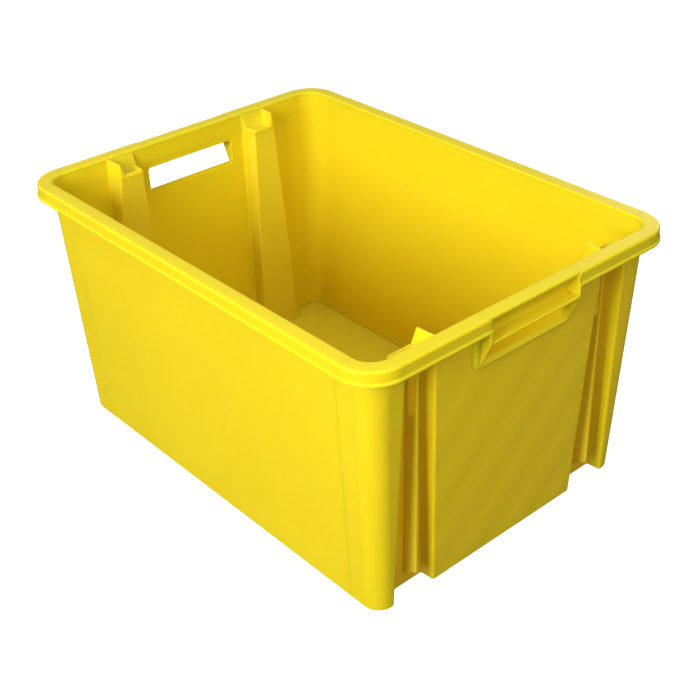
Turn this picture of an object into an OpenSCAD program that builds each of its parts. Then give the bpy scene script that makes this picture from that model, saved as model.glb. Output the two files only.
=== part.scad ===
// Stacking crate: a drafted, open-topped plastic crate with an overhanging rim.
// Each end wall has two tapered channels. Inside, a channel is a pilaster with a seat
// on top. The two ends carry them at different spacings. A second crate turned by half
// a turn stands with the lower edges of its ends on the seats. One turned the same way
// takes the seats into its channels, and sinks until its ribs come down on them.
// X runs along the length, end A is at +X, and the origin is the centre of the base.

/* [Crate] */
// Overall length, over the bead of the rim
length = 600; // [560:5:640]
// Overall width, over the bead of the rim
width = 446; // [420:2:480]
// Overall height
height = 316; // [300:2:340]
// Length of the walls at the base
base_length = 542; // [530:2:560]
// Width of the walls at the base
base_width = 381; // [370:1:400]
// Corner radius of the walls at the base
base_radius = 20; // [14:1:26]
// Thickness of the walls, floor and rim
wall = 3; // [2.4:0.2:3.6]

/* [Rim] */
// Width of the rim from its inner edge to its bead
rim_width = 20.5; // [19:0.5:22]
// Corner radius of the rim at its bead
rim_radius = 42.5; // [38:0.5:48]
// Depth of the rim, from its top to the lower edge of its skirt
skirt_height = 16.4; // [14:0.2:20]
// How far the bead stands proud of the skirt
bead_proud = 1.6; // [1:0.2:2]
// Rounding of the top edges of the rim
rim_round = 3; // [2:0.5:3]

/* [Channels] */
// Depth of each channel at the base
channel_depth = 17.2; // [15:0.2:19]
// How much further out the floor of a channel is at the top
channel_draft = 4.4; // [2:0.2:6]
// How much a channel narrows on each side, from its mouth to its floor, at the base
channel_slope = 1; // [0.5:0.25:2]
// Height of the seats on the pilasters, above the base
seat_height = 299; // [290:1:301]
// Depth of the dish in each seat
dish_depth = 4; // [2:0.5:6]
// Width of the flat top of the horn beside each seat
horn_width = 2; // [1:0.5:4]
// Width of the steep face between horn and seat
horn_ramp = 6; // [4:0.5:8]
// Width of the lip round each seat
seat_lip = 3; // [2:0.5:4]
// Height of the lower end of the rib in each channel, at its free edge
rib_start = 29; // [20:1:60]
// How far the lower edge of each rib slopes down towards the floor of its channel
rib_slant = 15; // [0:1:16]
// Height at which the window in each rib starts
rib_window = 224; // [180:2:250]

/* [Handles] */
// Width of the hand hole
hole_width = 127; // [110:1:140]
// Height of the lower edge of the hand hole above the base
hole_low = 254.5; // [240:0.5:258]
// Height of the upper edge of the hand hole above the base
shelf_low = 285; // [280:1:288]
// Corner radius of the hand hole
hole_radius = 3.5; // [1:0.5:6]
// How far the sill stands out from the wall
sill_reach = 5; // [4:0.5:8]
// Radius of the hollow face over the shelf
cove_radius = 94; // [60:2:200]

/* [Hidden] */
$fn = 64;
eps = 0.01;
top_length = length - 2 * (rim_width - wall);
top_width = width - 2 * (rim_width - wall);
top_radius = rim_radius - rim_width + wall;
rim_low = height - wall;
skirt_low = height - skirt_height;
cap_low = seat_height - dish_depth - wall;
rib_reach = base_length / 2 + 2;
cheek_half = hole_width / 2 + wall - 0.5;
corner_x = length / 2 - rim_radius;
corner_y = width / 2 - rim_radius;
long_end = base_length / 2 - 40;

// Inner and outer edge of the channels, as distances from the middle of the end wall:
// [inner at base, inner at top, outer at base, outer at top, place of the rib]
spread_a = [110.5, 123, 166.3, 158.8, 136.5];
spread_b = [81.5, 87, 138, 115.8, 101.5];

ENDS = ["a", "b"];

body_colour = "gold";
rim_colour = "yellow";
deep_colour = "goldenrod";

// Half length and half width of the outside of the walls at height z
function half_l(z) = (base_length + (top_length - base_length) * z / height) / 2;
function half_w(z) = (base_width + (top_width - base_width) * z / height) / 2;
// Linear change of a value from the base to the top
function at_height(base_value, top_value, z) = base_value + (top_value - base_value) * z / height;

// A rounded rectangle with half sides hx and hy
module round_rect(hx, hy, r) {
  hull()
    for (sx = [-1, 1], sy = [-1, 1])
      translate([sx * (hx - r), sy * (hy - r)]) circle(r, $fn = 64);
}

// The drafted solid inside the walls (inset = wall) or up to their outside (inset = 0)
module tub(inset) {
  hull() {
    linear_extrude(eps)
      round_rect(base_length / 2 - inset, base_width / 2 - inset, base_radius - inset);
    translate([0, 0, height - eps]) linear_extrude(eps)
      round_rect(top_length / 2 - inset, top_width / 2 - inset, top_radius - inset);
  }
}

// The four walls as one drafted ring, up to the underside of the rim
module wall_ring() {
  intersection() {
    difference() {
      tub(0);
      tub(wall);
    }
    translate([-length, -width, 0]) cube([2 * length, 2 * width, rim_low]);
  }
}

// One flat slice of a channel at height z, grown by g on its sides and floor
module channel_slice(s, z, g) {
  floor_x = base_length / 2 - channel_depth + channel_draft * z / height - g;
  slope = channel_slope / channel_depth;
  mouth = length / 2 - half_l(z);
  y0 = at_height(s[0], s[1], z) - g;
  y1 = at_height(s[2], s[3], z) + g;
  depth = half_l(z) - floor_x;
  translate([0, 0, z]) linear_extrude(eps)
    polygon([
      [floor_x, y0 + slope * depth], [length / 2, y0 - slope * mouth],
      [length / 2, y1 + slope * mouth], [floor_x, y1 - slope * depth]
    ]);
}

// The space of a channel on the +Y side of end A, grown by g, from z0 to z1
module channel_space(s, g, z0, z1) {
  hull() {
    channel_slice(s, z0, g);
    channel_slice(s, z1, g);
  }
}

// Puts a shape made for the +X, +Y quarter into the named quarter
module quarter(end, side) {
  mirror([end == "b" ? 1 : 0, 0, 0]) mirror([0, side == "front" ? 1 : 0, 0]) children();
}

// Everything that both channels of an end take out of its wall
module channel_pair(s) {
  intersection() {
    for (m = [0, 1]) mirror([0, m, 0]) channel_space(s, wall, -1, height);
    translate([0, -width, -1]) cube([length, 2 * width, cap_low + 1]);
  }
}

// The hand hole, cut through the wall of end A
module hand_hole() {
  hull()
    for (y = [-1, 1], z = [hole_low + hole_radius, shelf_low - hole_radius])
      translate([base_length / 2 - 20, y * (hole_width / 2 - hole_radius), z])
        rotate([0, 90, 0]) cylinder(60, hole_radius, hole_radius, $fn = 32);
}

module floor_panel() {
  color(deep_colour)
    difference() {
      intersection() {
        tub(wall);
        translate([-length, -width, 0]) cube([2 * length, 2 * width, wall]);
      }
      channel_pair(spread_a);
      mirror([1, 0, 0]) channel_pair(spread_b);
    }
}

module long_wall(side) {
  color(body_colour)
    intersection() {
      quarter("a", side) translate([-long_end, 0, 0]) cube([2 * long_end, width, height]);
      wall_ring();
    }
}

// Outline of a cheek of the handle, seen from the side: from the sill up to the rim
module cheek_outline() {
  polygon([
    [half_l(hole_low) - 1, hole_low - wall],
    [half_l(hole_low) + sill_reach - 1, hole_low - 0.6 * wall],
    [half_l(hole_low) + sill_reach, hole_low],
    [length / 2, shelf_low + 2],
    [length / 2, skirt_low + 2],
    [length / 2 - bead_proud, skirt_low + 4.2],
    [length / 2 - bead_proud, rim_low],
    [half_l(rim_low) - 1, rim_low]
  ]);
}

// Section of the sill under the mouth of the handle
module sill_section() {
  polygon([
    [half_l(hole_low) - 1, hole_low - wall],
    [half_l(hole_low) + sill_reach - 1, hole_low - 0.6 * wall],
    [half_l(hole_low) + sill_reach, hole_low - 0.3], [half_l(hole_low) + sill_reach - 0.5, hole_low],
    [half_l(hole_low) - 1, hole_low]
  ]);
}

// Section of the grip: the shelf, and the wedge with the hollow face between shelf and rim
module grip_section() {
  foot = [half_l(shelf_low), shelf_low + 1.5 * wall];
  head = [length / 2 - wall, rim_low + wall / 2];
  chord = head - foot;
  rise = cove_radius - sqrt(cove_radius * cove_radius - chord * chord / 4);
  away = [chord[1], -chord[0]] / norm(chord);
  centre = (foot + head) / 2 + away * (cove_radius - rise);
  difference() {
    polygon([
      [foot[0] - 2, shelf_low], foot - [2, 0], [half_l(rim_low) - 2, rim_low],
      [length / 2 - wall, rim_low], foot + [0.6, 0],
      [length / 2, shelf_low + 1.5 * wall - 0.5], [length / 2, shelf_low + 2], [foot[0], shelf_low]
    ]);
    intersection() {
      translate(centre) circle(cove_radius, $fn = 256);
      translate(foot) square([length / 2 - foot[0], rim_low - foot[1]]);
    }
  }
}

module end_panel(s) {
  color(body_colour)
    difference() {
      intersection() {
        wall_ring();
        translate([0, -s[4], 0]) cube([length, 2 * s[4], height]);
      }
      channel_pair(s);
      hand_hole();
    }
}

module corner_post(s) {
  color(body_colour)
    difference() {
      intersection() {
        wall_ring();
        translate([long_end, s[4], 0]) cube([length, width, height]);
      }
      channel_pair(s);
    }
}

module pilaster(s) {
  color(deep_colour)
    difference() {
      intersection() {
        channel_space(s, wall, 0, height);
        tub(0);
        cube([length, width, cap_low]);
      }
      channel_space(s, 0, -1, height + 1);
    }
}

// Outline of a seat from its front to the wall: the lip is rounded off over the pilaster
module seat_profile() {
  front = base_length / 2 - channel_depth + channel_draft * seat_height / height - wall;
  polygon([
    [front - 2, cap_low], [front - 2, seat_height - 3], [front, seat_height - 3],
    [front + 0.4, seat_height - 1.5], [front + 1.5, seat_height - 0.4], [front + 3, seat_height],
    [length / 2, seat_height], [length / 2, cap_low]
  ]);
}

// Outline of the upper part of a horn from its front to the wall
module horn_front() {
  front = base_length / 2 - channel_depth + channel_draft * seat_height / height - wall;
  polygon([
    [front - 2, cap_low], [front, seat_height - 3], [front + 2, rim_low],
    [length / 2, rim_low], [length / 2, cap_low]
  ]);
}

// Outline of the back of a seat, which rises to the wall
module back_profile() {
  back = half_l(seat_height) - wall;
  polygon([
    [back - 9, seat_height - dish_depth], [back - 1.5, seat_height + 10],
    [back - 0.8, rim_low], [length / 2, rim_low], [length / 2, seat_height - dish_depth]
  ]);
}

// Outline of a horn: y is the distance from the side of the pilaster that it stands on
module horn_profile() {
  polygon([
    [-3, cap_low], [-3, rim_low], [horn_width, rim_low],
    [horn_width + horn_ramp, seat_height - dish_depth], [horn_width + horn_ramp, cap_low]
  ]);
}

// A seat with its horn: on the inner side at end A, on the outer side at end B
module seat(s, outer) {
  y0 = at_height(s[0], s[1], seat_height) - wall;
  y1 = at_height(s[2], s[3], seat_height) + wall;
  front = base_length / 2 - channel_depth + channel_draft * seat_height / height - wall;
  back = half_l(seat_height) - wall;
  color(body_colour)
    intersection() {
      channel_space(s, wall, cap_low, rim_low);
      tub(wall);
      union() {
        intersection() {
          translate([0, y1, 0]) rotate([90, 0, 0]) linear_extrude(y1 - y0) seat_profile();
          difference() {
            translate([0, y0, cap_low]) cube([length, y1 - y0, seat_height - cap_low]);
            hull() {
              translate([front + 2 * seat_lip, y0 + 1.5 * seat_lip, seat_height - dish_depth])
                cube([back - front - 2 * seat_lip, y1 - y0 - 3 * seat_lip, eps]);
              translate([front + 1.4 * seat_lip, y0 + seat_lip, seat_height])
                cube([back - front - 1.4 * seat_lip, y1 - y0 - 2 * seat_lip, eps]);
            }
          }
        }
        translate([0, y1, 0]) rotate([90, 0, 0]) linear_extrude(y1 - y0) back_profile();
        intersection() {
          translate([0, width, 0]) rotate([90, 0, 0]) linear_extrude(width) horn_front();
          translate([0, outer ? y1 : y0, 0]) mirror([0, outer ? 1 : 0, 0])
            rotate([90, 0, 90]) linear_extrude(length) horn_profile();
        }
      }
    }
}

module channel_rib(s) {
  root_x = base_length / 2 - channel_depth - wall;
  color(deep_colour)
    difference() {
      translate([0, s[4] + wall / 2, 0]) rotate([90, 0, 0]) linear_extrude(wall)
        polygon([
          [root_x, rib_start - rib_slant], [rib_reach, rib_start], [rib_reach, cap_low], [root_x, cap_low]
        ]);
      translate([rib_reach - 11.5, s[4] - wall, rib_window])
        cube([9.2, 2 * wall, cap_low - wall - rib_window]);
      channel_wall(s);
    }
}

// The wall of the pilaster alone, which the rib stops at
module channel_wall(s) {
  difference() {
    channel_space(s, wall + 5, -1, height + 1);
    channel_space(s, 0, -2, height + 2);
  }
}

// Section of the rim: x is the distance out from its inner edge, y is the height
module rim_section(skirt) {
  out = rim_width - bead_proud - (1 - skirt) * (wall - bead_proud);
  polygon(concat(
    [for (a = [180:-15:90])
      [rim_round + rim_round * cos(a), height - rim_round + rim_round * sin(a)]],
    [for (a = [90:-15:0])
      [out - rim_round + rim_round * cos(a), height - rim_round + rim_round * sin(a)]],
    skirt == 0 ? [[out, rim_low]] : [
      [out, skirt_low + 4.2], [rim_width - 0.3, skirt_low + 2.6], [rim_width, skirt_low + 1.8],
      [rim_width, skirt_low + 0.8], [rim_width - 0.8, skirt_low], [out - wall + 0.6, skirt_low],
      [out - wall, skirt_low + 1], [out - wall, rim_low]]
  ));
}

module rim_side(side) {
  color(rim_colour)
    quarter("a", side) translate([-corner_x, width / 2 - rim_width, 0])
      rotate([90, 0, 90]) linear_extrude(2 * corner_x) rim_section(1);
}

// The end of the rim: its skirt is left out over the handle
module rim_end() {
  color(rim_colour)
    for (part = [[-corner_y, -cheek_half, 1], [-cheek_half, cheek_half, 0], [cheek_half, corner_y, 1]])
      translate([length / 2 - rim_width, part[1], 0])
        rotate([90, 0, 0]) linear_extrude(part[1] - part[0]) rim_section(part[2]);
}

module rim_corner() {
  color(rim_colour)
    translate([corner_x, corner_y, 0]) rotate_extrude(angle = 90)
      translate([rim_radius - rim_width, 0]) rim_section(1);
}

module handle() {
  color(body_colour)
    difference() {
      union() {
        for (y = [-hole_width / 2, cheek_half])
          translate([0, y, 0]) rotate([90, 0, 0]) linear_extrude(wall - 0.5) cheek_outline();
        translate([0, cheek_half, 0]) rotate([90, 0, 0])
          linear_extrude(2 * cheek_half) grip_section();
        translate([0, cheek_half, 0]) rotate([90, 0, 0])
          linear_extrude(2 * cheek_half) sill_section();
      }
      tub(0);
    }
}

floor_panel();
long_wall("front");  // long_wall_front
long_wall("back");  // long_wall_back
end_panel(spread_a);  // end_panel_a
mirror([1, 0, 0]) end_panel(spread_b);  // end_panel_b
quarter("a", "front") corner_post(spread_a);  // corner_post_a_front
quarter("a", "back") corner_post(spread_a);  // corner_post_a_back
quarter("b", "front") corner_post(spread_b);  // corner_post_b_front
quarter("b", "back") corner_post(spread_b);  // corner_post_b_back
quarter("a", "front") pilaster(spread_a);  // pilaster_a_front
quarter("a", "back") pilaster(spread_a);  // pilaster_a_back
quarter("b", "front") pilaster(spread_b);  // pilaster_b_front
quarter("b", "back") pilaster(spread_b);  // pilaster_b_back
rim_side("front");  // rim_front
rim_side("back");  // rim_back
rim_end();  // rim_end_a
mirror([1, 0, 0]) rim_end();  // rim_end_b
quarter("a", "front") rim_corner();  // rim_corner_a_front
quarter("a", "back") rim_corner();  // rim_corner_a_back
quarter("b", "front") rim_corner();  // rim_corner_b_front
quarter("b", "back") rim_corner();  // rim_corner_b_back
handle();  // handle_a
mirror([1, 0, 0]) handle();  // handle_b
quarter("a", "front") channel_rib(spread_a);  // channel_rib_a_front
quarter("a", "back") channel_rib(spread_a);  // channel_rib_a_back
quarter("b", "front") channel_rib(spread_b);  // channel_rib_b_front
quarter("b", "back") channel_rib(spread_b);  // channel_rib_b_back
quarter("a", "front") seat(spread_a, false);  // seat_a_front
quarter("a", "back") seat(spread_a, false);  // seat_a_back
quarter("b", "front") seat(spread_b, true);  // seat_b_front
quarter("b", "back") seat(spread_b, true);  // seat_b_back
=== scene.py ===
import math
from collections import namedtuple

import bmesh
import bpy
import numpy as np
from mathutils import Matrix, Vector


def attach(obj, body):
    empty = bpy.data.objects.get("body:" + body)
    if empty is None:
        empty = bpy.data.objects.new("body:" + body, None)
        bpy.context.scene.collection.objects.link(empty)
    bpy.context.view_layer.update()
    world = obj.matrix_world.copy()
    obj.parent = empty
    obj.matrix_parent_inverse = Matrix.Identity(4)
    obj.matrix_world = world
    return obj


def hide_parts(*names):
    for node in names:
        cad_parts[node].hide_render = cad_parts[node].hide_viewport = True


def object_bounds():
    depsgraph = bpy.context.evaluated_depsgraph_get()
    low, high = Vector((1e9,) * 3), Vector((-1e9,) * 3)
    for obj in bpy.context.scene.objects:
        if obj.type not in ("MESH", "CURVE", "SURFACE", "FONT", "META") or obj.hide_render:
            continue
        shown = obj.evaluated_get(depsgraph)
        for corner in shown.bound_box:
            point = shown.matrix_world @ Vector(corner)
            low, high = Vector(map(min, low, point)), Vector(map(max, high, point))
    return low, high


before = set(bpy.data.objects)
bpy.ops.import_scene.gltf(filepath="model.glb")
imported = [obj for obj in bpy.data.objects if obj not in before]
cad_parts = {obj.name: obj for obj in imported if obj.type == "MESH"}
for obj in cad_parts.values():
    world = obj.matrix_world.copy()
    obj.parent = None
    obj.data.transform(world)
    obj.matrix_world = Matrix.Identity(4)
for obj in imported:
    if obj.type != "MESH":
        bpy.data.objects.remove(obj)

cad_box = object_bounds()

# ---------------------------------------------------------------- sizes, in mm

MM = 0.001
LENGTH, WIDTH, HEIGHT = (round((high - low) / MM, 3) for low, high in zip(*cad_box))
WALL = 3.0
RIM_LOW = 313.0  # underside of the rim's flat top
CAP_LOW = 292.0  # where the channels end
SEAT = 299.0  # the edge of a seat
DISH = SEAT - 4  # the lowest part of a seat
RIM_WIDTH, RIM_RADIUS = 20.5, 42.5
RIM_X, RIM_Y = LENGTH / 2 - RIM_RADIUS, WIDTH / 2 - RIM_RADIUS  # where the rim's corners begin
LONG_END = 231.0  # where the long walls end and the corners begin
HOLE_HALF, HOLE_LOW, HOLE_HIGH = 63.5, 254.5, 285  # the hand hole
GRIP_HALF = 66.0  # half the length of a handle, over its cheeks
SLOPE = 1 / 17.2  # how far each side of a channel leans in with each mm of its depth
OUTSIDE_ROUNDS, INSIDE_ROUNDS = (3.0, 1.2), (3.5, 2.5)  # radii at a channel's mouth and at its back
FOOT_ROUND, COVE = 1.5, 4.0  # radii under the walls' feet and between the walls and the floor
SIDES = {"front": -1, "back": 1}
ENDS = {"a": 1, "b": -1}

# How far a channel's two sides and its rib stand from the middle of the end wall.
Spread = namedtuple("Spread", "inner_foot inner_top outer_foot outer_top rib")
SPREADS = {"a": Spread(110.5, 123.0, 166.3, 158.8, 136.5), "b": Spread(81.5, 87.0, 138.0, 115.8, 101.5)}


def half_l(z):
    """Half the length over the end walls at height z."""
    return 271 + 11.5 * z / HEIGHT


def half_w(z):
    """Half the width over the long walls at height z."""
    return 190.5 + 15 * z / HEIGHT


def floor_x(z):
    """How far the channels' backs stand from the middle at height z."""
    return 253.8 + 4.4 * z / HEIGHT


def post_radius(z):
    """The radius of the crate's upright corners at height z."""
    return 20 + 5 * z / HEIGHT


def channel_sides(s, z, g):
    """The places of a channel's two sides at height z, g mm into the wall."""
    inner = s.inner_foot + (s.inner_top - s.inner_foot) * z / HEIGHT - g
    outer = s.outer_foot + (s.outer_top - s.outer_foot) * z / HEIGHT + g
    return inner, outer


def drop(distance, radius):
    """How far a rounded edge falls back at this distance from the edge."""
    return radius - math.sqrt(max(0, radius**2 - (radius - distance) ** 2)) if distance < radius else 0.0


# ---------------------------------------------------------------- materials


def node(tree, kind, **inputs):
    """A new node with the values of its sockets."""
    n = tree.nodes.new(kind)
    for key, value in inputs.items():
        n.inputs[key.replace("_", " ")].default_value = value
    return n


def plastic(name, light, deep, rough, painted_sheen=0.0, gloss_level=0.36):
    """Moulded plastic: fine grain, slow ripples, mottled colour, paler edges, and diagonal bands of
    painted sheen in the colour when asked.
    """
    m = bpy.data.materials.new(name)
    m.use_nodes = True
    t = m.node_tree
    link = t.links.new
    bsdf = t.nodes["Principled BSDF"]
    bsdf.inputs["IOR"].default_value = 1.5
    bsdf.inputs["Specular IOR Level"].default_value = gloss_level
    bsdf.inputs["Specular Tint"].default_value = (1.0, 0.86, 0.3, 1)
    bsdf.inputs["Subsurface Weight"].default_value = 0.4
    bsdf.inputs["Subsurface Radius"].default_value = (1.0, 0.5, 0.08)
    bsdf.inputs["Subsurface Scale"].default_value = 0.012
    place = t.nodes.new("ShaderNodeTexCoord").outputs["Object"]

    def noise(scale, detail):
        n = node(t, "ShaderNodeTexNoise", Scale=scale, Detail=detail, Roughness=0.55)
        link(place, n.inputs["Vector"])
        return n.outputs["Fac"]

    def ranged(value, a, b, low, high):
        n = node(t, "ShaderNodeMapRange", From_Min=a, From_Max=b, To_Min=low, To_Max=high)
        link(value, n.inputs["Value"])
        return n.outputs["Result"]

    def mixed(fac, a, b):
        """A mix of two colours; the factor and the colours are values or sockets."""
        n = t.nodes.new("ShaderNodeMix")
        n.data_type = "RGBA"
        if isinstance(fac, float):
            n.inputs["Factor"].default_value = fac
        else:
            link(fac, n.inputs["Factor"])
        first, second = n.inputs[6], n.inputs[7]
        for socket, value in ((first, a), (second, b)):
            if isinstance(value, tuple):
                socket.default_value = (*value, 1)
            else:
                link(value, socket)
        return n.outputs[2]

    colour = mixed(ranged(noise(5.0, 3), 0.35, 0.65, 0.0, 1.0), light, deep)
    worn = tuple(min(1.0, c * 1.06 + 0.02) for c in light)
    point = t.nodes.new("ShaderNodeNewGeometry").outputs["Pointiness"]
    edge = ranged(point, 0.60, 0.72, 0.0, 0.4)
    colour = mixed(edge, colour, worn)
    gloss = ranged(noise(38.0, 2), 0.3, 0.7, rough - 0.02, rough + 0.03)
    fine = node(t, "ShaderNodeBump", Strength=0.05, Distance=0.00008)
    link(noise(800.0, 1), fine.inputs["Height"])
    slow = node(t, "ShaderNodeBump", Strength=0.35, Distance=0.0009)
    link(noise(9.0, 1), slow.inputs["Height"])
    link(slow.outputs["Normal"], fine.inputs["Normal"])
    # Painted sheen: diagonal bands, a little paler and darker, mixed into the colour.
    if painted_sheen:
        turning, phase = 83.04, 2.36  # radians per metre along Y and down Z, and at the origin
        across = t.nodes.new("ShaderNodeVectorMath")
        across.operation = "DOT_PRODUCT"
        across.inputs[1].default_value = (0, turning, -turning)
        link(place, across.inputs[0])
        wave = t.nodes.new("ShaderNodeMath")
        wave.operation = "ADD"
        wave.inputs[1].default_value = phase
        link(across.outputs["Value"], wave.inputs[0])
        bands = t.nodes.new("ShaderNodeMath")
        bands.operation = "SINE"
        link(wave.outputs[0], bands.inputs[0])
        paler = tuple(min(1.0, c * 1.035) for c in light)
        darker = tuple(c * 0.95 for c in light)
        shade = mixed(ranged(bands.outputs[0], -1.0, 1.0, 0.0, 1.0), darker, paler)
        colour = mixed(painted_sheen, colour, shade)
    link(colour, bsdf.inputs["Base Color"])
    link(gloss, bsdf.inputs["Roughness"])
    link(fine.outputs["Normal"], bsdf.inputs["Normal"])
    return m


# The crate is one plastic, and BODY is its colour. The other copies differ in colour to paint light and
# shade in: the recess copy is more orange for painted shade, the pilaster, seat, floor and rim copies are
# paler for painted light, and the panel copy carries bands of painted sheen.
BODY = plastic("crate_yellow", (0.80, 0.605, 0.012), (0.77, 0.58, 0.011), 0.36)
PANEL_PAINTED_SHEEN = plastic("crate_yellow_panel_painted_sheen", (0.80, 0.605, 0.013), (0.77, 0.58, 0.012), 0.38, painted_sheen=0.8)
# A little paler for the pilasters and ribs: painted light.
INNER_PAINTED_LIGHT = plastic("crate_yellow_pilaster_painted_light", (0.81, 0.62, 0.024), (0.78, 0.59, 0.022), 0.30)
# A little paler for the seats, and glossier: painted light in the colour.
SEAT_PAINTED_LIGHT = plastic("crate_yellow_seat_painted_light", (0.81, 0.62, 0.014), (0.78, 0.59, 0.013), 0.16, gloss_level=0.9)
# More orange for the channels' backs: painted shade where light is shut out of the recess.
RECESS_PAINTED_SHADE = plastic("crate_yellow_recess_painted_shade", (0.86, 0.55, 0.012), (0.83, 0.52, 0.011), 0.34)
# Paler for the inside floor: painted light.
FLOOR_PAINTED_LIGHT = plastic("crate_yellow_floor_painted_light", (0.86, 0.68, 0.035), (0.83, 0.65, 0.03), 0.33)
# A little paler for the rim: painted light.
RIM = plastic("crate_yellow_rim_painted_light", (0.81, 0.62, 0.012), (0.78, 0.595, 0.011), 0.30)

# ---------------------------------------------------------------- mesh helpers


def corner(p, v, n, r, count):
    """Points of the arc of radius r that rounds the corner v between p and n."""
    p, v, n = (np.array(q, float) for q in (p, v, n))
    a, b = (p - v) / np.linalg.norm(p - v), (n - v) / np.linalg.norm(n - v)
    angle = math.acos(np.clip(a @ b, -1, 1))
    # A straight stretch keeps the count of points, so that outlines at different heights still match.
    if r <= 0 or angle > math.pi - 1e-4:
        return [v] * (count + 1) if r > 0 else [v]
    c = v + (a + b) / np.linalg.norm(a + b) * r / math.sin(angle / 2)
    t = r / math.tan(angle / 2)
    u0, u1, w = (v + a * t - c) / r, (v + b * t - c) / r, math.pi - angle
    return [
        c + r * (math.sin((1 - s) * w) * u0 + math.sin(s * w) * u1) / math.sin(w)
        for s in np.linspace(0, 1, count + 1)
    ]


def rounded(points, count=5):
    """A closed outline with its corners rounded: points are (x, y, radius)."""
    out = []
    for i, (x, y, r) in enumerate(points):
        out += corner(points[i - 1][:2], (x, y), points[(i + 1) % len(points)][:2], r, count)
    return np.array(out)


class Solid:
    """Closed shells that are gathered into one piece."""

    def __init__(self):
        self.verts, self.faces = [], []

    def add(self, verts, faces, bevel=0.0):
        """Adds one shell, cleaned of doubled points, with its sharp edges bevelled if asked."""
        bm = bmesh.new()
        vs = [bm.verts.new(v) for v in verts]
        for f in faces:
            try:
                bm.faces.new([vs[i] for i in f])
            except ValueError:
                pass
        bmesh.ops.remove_doubles(bm, verts=bm.verts, dist=0.004)
        bmesh.ops.dissolve_degenerate(bm, edges=bm.edges, dist=0.002)
        loose = [v for v in bm.verts if not v.link_faces]
        bmesh.ops.delete(bm, geom=loose, context="VERTS")
        bmesh.ops.recalc_face_normals(bm, faces=bm.faces)
        if bevel:
            bm.normal_update()
            sharp = [e for e in bm.edges if e.is_manifold and e.calc_face_angle() > math.radians(35)]
            bmesh.ops.bevel(
                bm, geom=sharp, offset=bevel, segments=3, profile=0.5, affect="EDGES", clamp_overlap=True
            )
            bmesh.ops.recalc_face_normals(bm, faces=bm.faces)
        bm.verts.index_update()
        start = len(self.verts)
        self.verts += [tuple(v.co) for v in bm.verts]
        self.faces += [[v.index + start for v in f.verts] for f in bm.faces]
        bm.free()

    def shell(self, rows):
        """rows are (outer points, inner points) of one height each, with equal counts."""
        n, verts, faces = len(rows[0][0]), [], []
        for o, i in rows:
            verts += [tuple(p) for p in o] + [tuple(p) for p in i]
        at = lambda r, side, k: r * 2 * n + side * n + k
        for r in range(len(rows) - 1):
            for k in range(n - 1):
                ring = ((r, k), (r, k + 1), (r + 1, k + 1), (r + 1, k))
                for side in (0, 1):
                    faces.append([at(row, side, column) for row, column in ring])
            for k in (0, n - 1):
                faces.append([at(r, 0, k), at(r, 1, k), at(r + 1, 1, k), at(r + 1, 0, k)])
        for r in (0, len(rows) - 1):
            for k in range(n - 1):
                faces.append([at(r, 0, k), at(r, 0, k + 1), at(r, 1, k + 1), at(r, 1, k)])
        self.add(verts, faces)

    def loft(self, loops, bevel=0.0):
        """Closed loops of equal counts joined one to the next, with both ends closed."""
        n = len(loops[0])
        verts = [tuple(p) for loop in loops for p in loop]
        faces = [
            [r * n + k, r * n + (k + 1) % n, (r + 1) * n + (k + 1) % n, (r + 1) * n + k]
            for r in range(len(loops) - 1)
            for k in range(n)
        ]
        faces += [list(range(n)), list(range((len(loops) - 1) * n, len(loops) * n))]
        self.add(verts, faces, bevel)


def mesh_object(name, solid, sx=1, sy=1):
    """A plain Blender object of a Solid given in mm, mirrored by sx and sy."""
    me = bpy.data.meshes.new(name)
    me.from_pydata((np.array(solid.verts) * [sx * MM, sy * MM, MM]).tolist(), [], solid.faces)
    bm = bmesh.new()
    bm.from_mesh(me)
    bmesh.ops.recalc_face_normals(bm, faces=bm.faces)
    bm.to_mesh(me)
    bm.free()
    o = bpy.data.objects.new(name, me)
    bpy.context.scene.collection.objects.link(o)
    return o


def pierced(solid, cutter):
    """The Solid with the cutter taken out of it."""
    o, c = mesh_object("whole", solid), mesh_object("cutter", cutter)
    mod = o.modifiers.new("cut", "BOOLEAN")
    mod.operation, mod.solver, mod.object = "DIFFERENCE", "EXACT", c
    bpy.context.view_layer.update()
    me = o.evaluated_get(bpy.context.evaluated_depsgraph_get()).to_mesh()
    out = Solid()
    out.verts = [tuple(v.co / MM) for v in me.vertices]
    out.faces = [list(f.vertices) for f in me.polygons]
    bpy.data.objects.remove(o)
    bpy.data.objects.remove(c)
    return out


def piece(name, solid, cad, material, sx=1, sy=1, smooth=38):
    """Makes the piece that stands for a CAD node."""
    o = mesh_object(name, solid, sx, sy)
    me = o.data
    me.polygons.foreach_set("use_smooth", [True] * len(me.polygons))
    me.set_sharp_from_angle(angle=math.radians(smooth))
    me.materials.append(material)
    w = o.modifiers.new("normals", "WEIGHTED_NORMAL")
    w.keep_sharp, w.weight, w.mode = True, 50, "FACE_AREA"
    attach(o, "root")
    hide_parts(cad)
    return o


# ---------------------------------------------------------------- the walls


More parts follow.
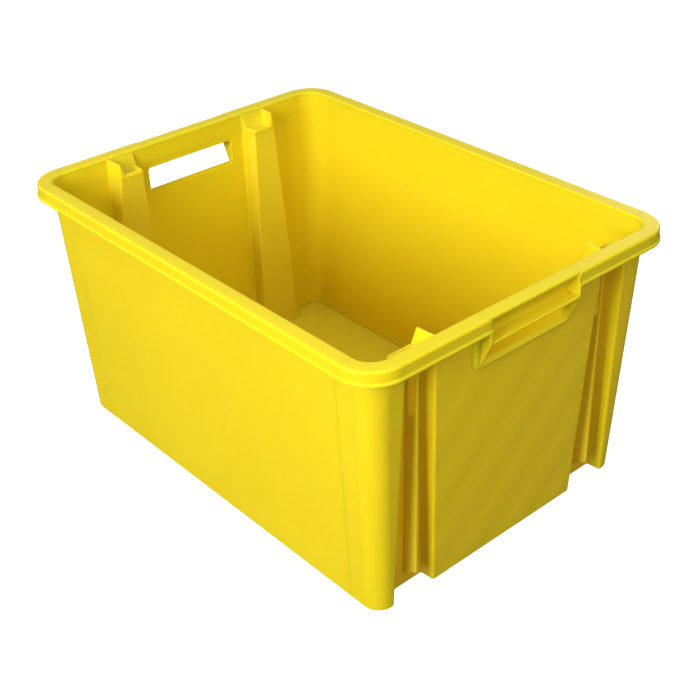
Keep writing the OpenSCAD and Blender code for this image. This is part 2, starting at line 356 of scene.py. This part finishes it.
def parts_of(s, z, g):
    """The wall's outline in one quarter at height z, g mm into the wall: half panel, pilaster and post."""
    hl, hw = half_l(z), half_w(z)
    fx = floor_x(z) - g
    y0, y1 = channel_sides(s, z, g)
    a, b = (hl - g, y0 + SLOPE * g), (fx, y0 + SLOPE * (hl - fx))
    c, d = (fx, y1 - SLOPE * (hl - fx)), (hl - g, y1 - SLOPE * g)
    xm = (hl + floor_x(z)) / 2
    m0, m1 = (xm, y0 + SLOPE * (hl - xm)), (xm, y1 - SLOPE * (hl - xm))
    if g < WALL:
        mouth, back = OUTSIDE_ROUNDS[0] - g, OUTSIDE_ROUNDS[1] + g
    else:
        mouth, back = max(0.6, INSIDE_ROUNDS[0] - (g - WALL)), INSIDE_ROUNDS[1] + (g - WALL)
    # The post's short face has room for the crate's corner first, then for the channel's mouth.
    big = min(post_radius(z) - g, hw - g - d[1] - 1.2)
    small = min(mouth, max(0.4, hw - g - big - d[1] - 0.05))
    middle = [np.array([hl - g, y]) for y in np.linspace(0, s.inner_foot - 12, 8)]
    half = middle + corner((hl - g, 0), a, b, mouth, 6) + [m0]
    pil = [m0] + corner(a, b, c, back, 6) + corner(b, c, d, back, 6) + [m1]
    post = [m1] + corner(c, d, (hl - g, hw), small, 6) + corner(d, (hl - g, hw - g), (0, hw - g), big, 14)
    post += [(LONG_END, hw - g)]
    return [np.array(q, float) for q in (half, pil, post)]


def lifted(path, z):
    """The flat path as points at height z."""
    path = np.array(path)
    return np.column_stack([path, np.full(len(path), z)])


# Each level is a height, how far the outside is rounded in at the foot, and where the inner face is.
LEVELS = [(z, drop(z, FOOT_ROUND), WALL) for z in (0, 0.15, 0.45, 0.9, 1.5, 3)]
LEVELS += [(z, 0, WALL + drop(z - WALL, COVE)) for z in (3, 3.1, 3.4, 3.9, 4.6, 5.6, 7)]
TALL = [40, 90, 140, 190, 240, CAP_LOW]


def wall_rows(s, which):
    """The wall up to the top of the channels, as rows for Solid.shell; which is a part of parts_of."""
    rows = []
    for z, go, gi in LEVELS + [(z, 0, WALL) for z in TALL]:
        o, i = parts_of(s, z, go)[which], parts_of(s, z, gi)[which]
        if which == 0:
            o, i = (np.vstack([q[::-1] * [1, -1], q[1:]]) for q in (o, i))
        rows.append((lifted(o, z), lifted(i, z)))
    return rows


def band_rows(s, which):
    """The wall over the channels, up to the rim."""
    rows = []
    for z in (CAP_LOW, 302, RIM_LOW):
        pair = []
        for g in (0, WALL):
            hl, hw, big = half_l(z) - g, half_w(z) - g, post_radius(z) - g
            if which == 0:
                pts = [(hl, y) for y in np.linspace(-s.rib, s.rib, 9)]
            else:
                pts = [(hl, s.rib)] + corner((hl, s.rib), (hl, hw), (0, hw), big, 14) + [(LONG_END, hw)]
            pair.append(lifted(pts, z))
        rows.append(tuple(pair))
    return rows


def hole_cutter():
    """The hand hole as a cutter, flared where it meets the two faces of the wall."""
    lift, loops = 0.9, []
    depths = [(0.6, lift), (0, lift)] + [
        (-lift * (1 - math.cos(q)), lift * (1 - math.sin(q))) for q in np.linspace(0.3, math.pi / 2, 5)
    ]
    depths += [(-WALL - d, e) for d, e in depths[::-1]]
    for d, e in depths:
        y, z0, z1, r = HOLE_HALF + e, HOLE_LOW - e, HOLE_HIGH + e, 3.5 + e
        loop = rounded([(-y, z0, r), (y, z0, r), (y, z1, r), (-y, z1, r)], 6)
        loops.append([(half_l(q[1]) + d, q[0], q[1]) for q in loop])
    q = Solid()
    q.loft(loops)
    return q


FACING_OUT = 0.3  # a face of an end looks outwards when its normal has more of X than this

for end, sx in ENDS.items():
    s = SPREADS[end]
    panel = Solid()
    panel.shell(wall_rows(s, 0))
    panel = pierced(panel, hole_cutter())
    panel.shell(band_rows(s, 0))
    o = piece("end_wall_" + end, panel, "end_panel_" + end, PANEL_PAINTED_SHEEN, sx, 1)
    # Only the faces looking outwards keep the panel copy with its bands of painted sheen; the rest take
    # the body plastic.
    o.data.materials.append(BODY)
    for f in o.data.polygons:
        if f.normal.x * sx < FACING_OUT:
            f.material_index = 1
    for side, sy in SIDES.items():
        tag = "_%s_%s" % (end, side)
        q = Solid()
        q.shell(wall_rows(s, 1))
        o = piece("channel" + tag, q, "pilaster" + tag, INNER_PAINTED_LIGHT, sx, sy)
        # The channel's faces that look outwards, its back, take the more orange copy: painted shade in the
        # recess.
        o.data.materials.append(RECESS_PAINTED_SHADE)
        for f in o.data.polygons:
            if f.normal.x * sx > FACING_OUT:
                f.material_index = 1
        q = Solid()
        q.shell(wall_rows(s, 2))
        q.shell(band_rows(s, 2))
        piece("corner" + tag, q, "corner_post" + tag, BODY, sx, sy)

for side, sy in SIDES.items():
    rows = []
    for z, go, gi in LEVELS + [(z, 0, WALL) for z in TALL + [RIM_LOW]]:
        xs = np.linspace(-LONG_END, LONG_END, 15)
        rows.append(tuple(lifted([(x, half_w(z) - g) for x in xs], z) for g in (go, gi)))
    q = Solid()
    q.shell(rows)
    piece("side_wall_" + side, q, "long_wall_" + side, BODY, 1, sy)

# The floor fills the inner outline of the walls, gathered quarter by quarter.
outline = []
for end, side in (("a", "back"), ("b", "back"), ("b", "front"), ("a", "front")):
    path = np.vstack(parts_of(SPREADS[end], 1.5, WALL))
    path = path * [ENDS[end], SIDES[side]]
    outline.append(path if (end, side) in (("a", "back"), ("b", "front")) else path[::-1])
outline = np.vstack(outline)
keep = [i for i in range(len(outline)) if np.linalg.norm(outline[i] - outline[i - 1]) > 0.05]
outline = outline[keep]
q = Solid()
q.loft([lifted(outline * 0.9985, 0), lifted(outline, 0.4), lifted(outline, WALL)])
# The inside floor takes the paler copy: painted light.
piece("crate_floor", q, "floor_panel", FLOOR_PAINTED_LIGHT)

# ---------------------------------------------------------------- seats on the pilasters


def smooth_max(a, b, k):
    """The higher of two heights, blended where they are less than k apart."""
    h = np.clip(0.5 + 0.5 * (a - b) / k, 0, 1)
    return b * (1 - h) + a * h + k * h * (1 - h)


def seat(s, outer):
    """A seat and its horn as a fine surface over the pilaster, with sides down to the pilaster's end."""
    ease = lambda n: (1 - np.cos(np.linspace(0, math.pi, n))) / 2
    fs = np.unique(np.concatenate([ease(29), np.linspace(0, 0.16, 12), np.linspace(0.84, 1, 12)]))
    finer = 1 - 0.22 * (1 - ease(15)[7:])
    us = np.unique(np.concatenate([np.linspace(0, 1, 22), finer, np.linspace(0.8, 1, 12)]))

    def spot(f, u, z):
        """The place f of the way across and u of the way forward, and its distances from the edges."""
        y0, y1 = channel_sides(s, z, WALL)
        hl = half_l(z)
        fx, back = floor_x(z) - WALL, hl - WALL + 0.2
        span = y1 - y0 - 2 * SLOPE * (hl - fx)
        front = fx + drop(min(f, 1 - f) * span, INSIDE_ROUNDS[1])
        x = back + (front - back) * u
        near = back - x
        flare = drop(near, INSIDE_ROUNDS[0])
        lo, hi = y0 + SLOPE * (hl - x) - flare, y1 - SLOPE * (hl - x) + flare
        return x, lo + (hi - lo) * f, x - front, near, (lo, hi)

    def height(f, u):
        """The seat's dish, the fillet up to the wall behind it and the horn, whichever is higher."""
        x, y, from_front, near, (lo, hi) = spot(f, u, SEAT)
        a, b = y - lo, hi - y
        horn, other = (b, a) if outer else (a, b)
        step = np.clip((min(from_front, other + 0.5, horn + 4) - 2.2) / 4.5, 0, 1)
        h = SEAT - (SEAT - DISH) * step * step * (3 - 2 * step)
        h -= drop(from_front, 4)
        h -= drop(other, 1.4)
        rise = np.clip((9 - near) / 8.0, 0, 1)
        back = DISH + (RIM_LOW - DISH) * (rise**1.25)
        tip = RIM_LOW + 0.6
        peak = tip if horn < 2 else tip - (horn - 2) * (tip - DISH) / 6
        peak = min(peak, 296 + from_front * 8.5) - drop(horn, 1.2)
        h = smooth_max(h, back, 1.6)
        h = smooth_max(h, peak, 1.6)
        return float(np.clip(h, CAP_LOW + 1.0, RIM_LOW + 0.4))

    top = [[spot(f, u, height(f, u))[:2] + (height(f, u),) for u in us] for f in fs]
    base = [[spot(f, u, CAP_LOW)[:2] + (CAP_LOW,) for u in us] for f in fs]
    nf, nu = len(fs), len(us)
    verts = [p for row in top for p in row] + [p for row in base for p in row]
    at = lambda layer, i, j: layer * nf * nu + i * nu + j
    faces = []
    for i in range(nf - 1):
        for j in range(nu - 1):
            for k in (0, 1):
                faces.append([at(k, i, j), at(k, i + 1, j), at(k, i + 1, j + 1), at(k, i, j + 1)])
    for i in (0, nf - 1):
        for j in range(nu - 1):
            faces.append([at(0, i, j), at(0, i, j + 1), at(1, i, j + 1), at(1, i, j)])
    for j in (0, nu - 1):
        for i in range(nf - 1):
            faces.append([at(0, i, j), at(0, i + 1, j), at(1, i + 1, j), at(1, i, j)])
    q = Solid()
    q.add(verts, faces)
    return q


for end, sx in ENDS.items():
    q = seat(SPREADS[end], end == "b")
    for side, sy in SIDES.items():
        tag = "_%s_%s" % (end, side)
        piece("stacking_seat" + tag, q, "seat" + tag, SEAT_PAINTED_LIGHT, sx, sy, smooth=50)

# ---------------------------------------------------------------- ribs in the channels


def rib(s):
    """A rib: a plate with a window near its top, and a lower end that slopes to the channel's back."""
    free_edge, lower_end, fall = 273.0, 29.0, 15 / 22.2
    xs = [261.5, 270.7, free_edge]
    zs = [lower_end, 224.0, 289.0, CAP_LOW]
    verts, faces = [], []
    for y in (s.rib - WALL / 2, s.rib + WALL / 2):
        for z in zs:
            slope = fall if z == lower_end else 0
            verts += [(x, y, z - slope * (free_edge - x)) for x in [floor_x(z) - WALL / 2] + xs]
    at = lambda k, j, i: k * 16 + j * 4 + i
    cells = [(i, j) for i in range(3) for j in range(3) if (i, j) != (1, 1)]
    for i, j in cells:
        for k in (0, 1):
            faces.append([at(k, j, i), at(k, j, i + 1), at(k, j + 1, i + 1), at(k, j + 1, i)])
        for e, (di, dj) in (
            (((i, j), (i + 1, j)), (0, -1)), (((i, j + 1), (i + 1, j + 1)), (0, 1)),
            (((i, j), (i, j + 1)), (-1, 0)), (((i + 1, j), (i + 1, j + 1)), (1, 0)),
        ):
            if (i + di, j + dj) not in cells:
                (i0, j0), (i1, j1) = e
                faces.append([at(0, j0, i0), at(0, j1, i1), at(1, j1, i1), at(1, j0, i0)])
    q = Solid()
    q.add(verts, faces, bevel=0.55)
    return q


for end, sx in ENDS.items():
    for side, sy in SIDES.items():
        tag = "_%s_%s" % (end, side)
        piece("rib" + tag, rib(SPREADS[end]), "channel_rib" + tag, INNER_PAINTED_LIGHT, sx, sy)

# ---------------------------------------------------------------- the rim

# Sections of the rim, from its inner edge outwards: with skirt and bead, and over the handles without.
SKIRTED = rounded([
    (0, RIM_LOW, 0), (0, HEIGHT, 3), (18.9, HEIGHT, 3), (18.9, 303.7, 1.1), (20.5, 301.9, 0.8),
    (20.5, 299.6, 0.75), (15.9, 299.6, 0.6), (15.9, RIM_LOW, 1.2),
], 6)
BARE = rounded([(0, RIM_LOW, 0), (0, HEIGHT, 3), (17.5, HEIGHT, 2.9), (17.5, RIM_LOW, 0)], 6)

for side, sy in SIDES.items():
    q = Solid()
    y = WIDTH / 2 - RIM_WIDTH
    q.loft([[(x, y + u, z) for u, z in SKIRTED] for x in np.linspace(-RIM_X, RIM_X, 17)])
    piece("rim_side_" + side, q, "rim_" + side, RIM, 1, sy)
for end, sx in ENDS.items():
    q = Solid()
    x = LENGTH / 2 - RIM_WIDTH
    stretches = ((-RIM_Y, -GRIP_HALF, SKIRTED), (-GRIP_HALF, GRIP_HALF, BARE), (GRIP_HALF, RIM_Y, SKIRTED))
    for y0, y1, loop in stretches:
        q.loft([[(x + u, y, z) for u, z in loop] for y in np.linspace(y0, y1, 6)])
    piece("rim_across_" + end, q, "rim_end_" + end, RIM, sx, 1)
    for side, sy in SIDES.items():
        q = Solid()
        r, loops = RIM_RADIUS - RIM_WIDTH, []
        for w in np.linspace(0, math.pi / 2, 25):
            c, d = math.cos(w), math.sin(w)
            loops.append([(RIM_X + (r + u) * c, RIM_Y + (r + u) * d, z) for u, z in SKIRTED])
        q.loft(loops)
        tag = "_%s_%s" % (end, side)
        piece("rim_bend" + tag, q, "rim_corner" + tag, RIM, sx, sy)

# ---------------------------------------------------------------- the handles


def hollow(foot_x, foot_z, head_x, head_z, radius, count):
    """Points of the hollow face over the shelf, from its head to its foot."""
    f, h = np.array([foot_x, foot_z]), np.array([head_x, head_z])
    chord = h - f
    length = np.linalg.norm(chord)
    away = np.array([chord[1], -chord[0]]) / length
    c = (f + h) / 2 + away * math.sqrt(radius**2 - length**2 / 4)
    a0, a1 = math.atan2(*(h - c)[::-1]), math.atan2(*(f - c)[::-1])
    if a1 < 0:
        a1 += 2 * math.pi
    if a0 < 0:
        a0 += 2 * math.pi
    return [c + radius * np.array([math.cos(t), math.sin(t)]) for t in np.linspace(a0, a1, count)]


def handle():
    """A handle: shelf and hollow face over the hole, a cheek with a fillet at each end, and the sill."""
    q = Solid()
    arc = hollow(281.4, 289.3, 297.0, 314.3, 94, 14)
    fillet = corner(arc[-6], arc[-1], (300, 289.3), 3.2, 8)
    arc = [p for p in arc if p[1] > fillet[0][1] + 0.3]
    lip = rounded([(279.6, 289.3, 0), (300, 289.3, 1.0), (300, 286.9, 0.8), (279.6, 285, 0)], 5)
    section = [(280.2, RIM_LOW + 0.5), (295.0, RIM_LOW + 0.9), *arc, *fillet, *lip[1:]]
    q.loft([[(x, y, z) for x, z in section] for y in np.linspace(-64.2, 64.2, 9)])
    cheek = rounded([
        (279.6, 251.7, 0), (284.2, 252.6, 0.7), (285.6, 255.0, 1.2), (300, 286.8, 2.5), (300, 301.7, 1.0),
        (298.4, 303.8, 1.0), (298.4, 313.0, 0), (280.6, 313.0, 0),
    ], 5)
    for y0, y1 in ((HOLE_HALF, GRIP_HALF), (-GRIP_HALF, -HOLE_HALF)):
        q.loft([[(x, y, z) for x, z in cheek] for y in (y0, y1)], bevel=0.45)
    for sy in (-1, 1):
        loops = []
        for z in np.linspace(252.5, 299, 26):
            hl = half_l(z)
            reach = min(286.0 + (z - 255) * 14.4 / 32, 300) if z > 255 else 284.6
            r = max(0.4, min(6.0, 0.85 * (reach - hl)))
            turns = np.linspace(0, math.pi / 2, 8)
            bend = [(hl + r * (1 - math.cos(w)), GRIP_HALF + r * (1 - math.sin(w))) for w in turns]
            bend += [(hl + r, GRIP_HALF - 0.6), (hl - 0.6, GRIP_HALF - 0.6), (hl - 0.6, GRIP_HALF + r)]
            loops.append([(x, sy * y, z) for x, y in bend])
        q.loft(loops)
    sill = rounded([(279.6, 251.6, 0), (284.3, 252.6, 0.6), (285.3, 254.6, 0.5), (279.6, 257.0, 0)], 5)
    q.loft([[(x, y, z) for x, z in sill] for y in (-GRIP_HALF, GRIP_HALF)], bevel=0.2)
    return q


for end, sx in ENDS.items():
    piece("grip_" + end, handle(), "handle_" + end, BODY, sx, 1)

# ---------------------------------------------------------------- studio


def camera_axes(azimuth, elevation, roll):
    """The camera's right, up and backward directions for angles in degrees."""
    a, e, r = (math.radians(v) for v in (azimuth, elevation, roll))
    back = np.array([math.sin(a) * math.cos(e), -math.cos(a) * math.cos(e), math.sin(e)])
    right = np.cross(-back, [0, 0, 1])
    right /= np.linalg.norm(right)
    up = np.cross(right, -back)
    return math.cos(r) * right + math.sin(r) * up, math.cos(r) * up - math.sin(r) * right, back


cam = bpy.data.cameras.new("camera")
cam.sensor_width, cam.lens, cam.clip_end = 36, 64.9378, 60
eye = bpy.data.objects.new("camera", cam)
bpy.context.scene.collection.objects.link(eye)
eye.matrix_world = Matrix(np.column_stack(camera_axes(49.11, 32.19, -1.66)).tolist()).to_4x4()
eye.matrix_world.translation = (0.97636, -0.82844, 0.92331)
bpy.context.scene.camera = eye

# The floor glows enough to read as white, and neither lights the crate nor shows in it.
ground = bpy.data.materials.new("pale_floor")
ground.use_nodes = True
t = ground.node_tree
b = t.nodes["Principled BSDF"]
grain = node(t, "ShaderNodeTexNoise", Scale=3.0, Detail=2.0)
t.links.new(t.nodes.new("ShaderNodeTexCoord").outputs["Object"], grain.inputs["Vector"])
soft = node(t, "ShaderNodeMapRange", From_Min=0.3, From_Max=0.7, To_Min=0.86, To_Max=0.92)
t.links.new(grain.outputs["Fac"], soft.inputs["Value"])
t.links.new(soft.outputs["Result"], b.inputs["Roughness"])
b.inputs["Base Color"].default_value = (0.9, 0.9, 0.9, 1)
b.inputs["Specular IOR Level"].default_value = 0.1
b.inputs["Emission Color"].default_value = (1, 1, 1, 1)
b.inputs["Emission Strength"].default_value = 0.85
bpy.ops.mesh.primitive_grid_add(x_subdivisions=8, y_subdivisions=8, size=16, location=(0, 0, -0.0005))
floor = bpy.context.object
floor.name = "studio_floor"
floor.data.materials.append(ground)
floor.visible_diffuse = floor.visible_glossy = floor.visible_transmission = False


def area(name, spot, aim, size, power):
    """A soft light of this size in metres and power in watts."""
    light = bpy.data.lights.new(name, "AREA")
    light.shape, light.size, light.size_y = "RECTANGLE", size[0], size[1]
    light.energy = power
    o = bpy.data.objects.new(name, light)
    bpy.context.scene.collection.objects.link(o)
    o.location = spot
    o.rotation_euler = (Vector(aim) - Vector(spot)).to_track_quat("-Z", "Y").to_euler()


area("key", (0.50, -2.13, 1.13), (0, 0, 0.15), (1.2, 1.0), 62)
area("fill", (1.5, -0.35, 0.95), (0.3, 0, 0.2), (1.0, 0.8), 6.4)
area("back", (-0.8, 2.75, 1.05), (0, 0, 0.2), (1.6, 0.9), 13)

# The world is white to the camera, and brighter overhead than at the sides to everything else.
world = bpy.data.worlds.new("studio")
bpy.context.scene.world = world
world.use_nodes = True
t = world.node_tree
for n in list(t.nodes):
    t.nodes.remove(n)
out = t.nodes.new("ShaderNodeOutputWorld")
mix = t.nodes.new("ShaderNodeMixShader")
seen = node(t, "ShaderNodeBackground", Color=(1, 1, 1, 1), Strength=1.0)
lit = node(t, "ShaderNodeBackground", Color=(1, 1, 1, 1))
t.links.new(t.nodes.new("ShaderNodeLightPath").outputs["Is Camera Ray"], mix.inputs[0])
t.links.new(lit.outputs[0], mix.inputs[1])
t.links.new(seen.outputs[0], mix.inputs[2])
t.links.new(mix.outputs[0], out.inputs["Surface"])
direction = t.nodes.new("ShaderNodeSeparateXYZ")
t.links.new(t.nodes.new("ShaderNodeTexCoord").outputs["Generated"], direction.inputs[0])
sky = node(t, "ShaderNodeMapRange", From_Min=0.0, From_Max=1.0, To_Min=0.1, To_Max=0.92)
t.links.new(direction.outputs["Z"], sky.inputs["Value"])
t.links.new(sky.outputs["Result"], lit.inputs["Strength"])

view = bpy.context.scene.view_settings
view.view_transform, view.look, view.exposure, view.gamma = "Standard", "None", 0.0, 1.0
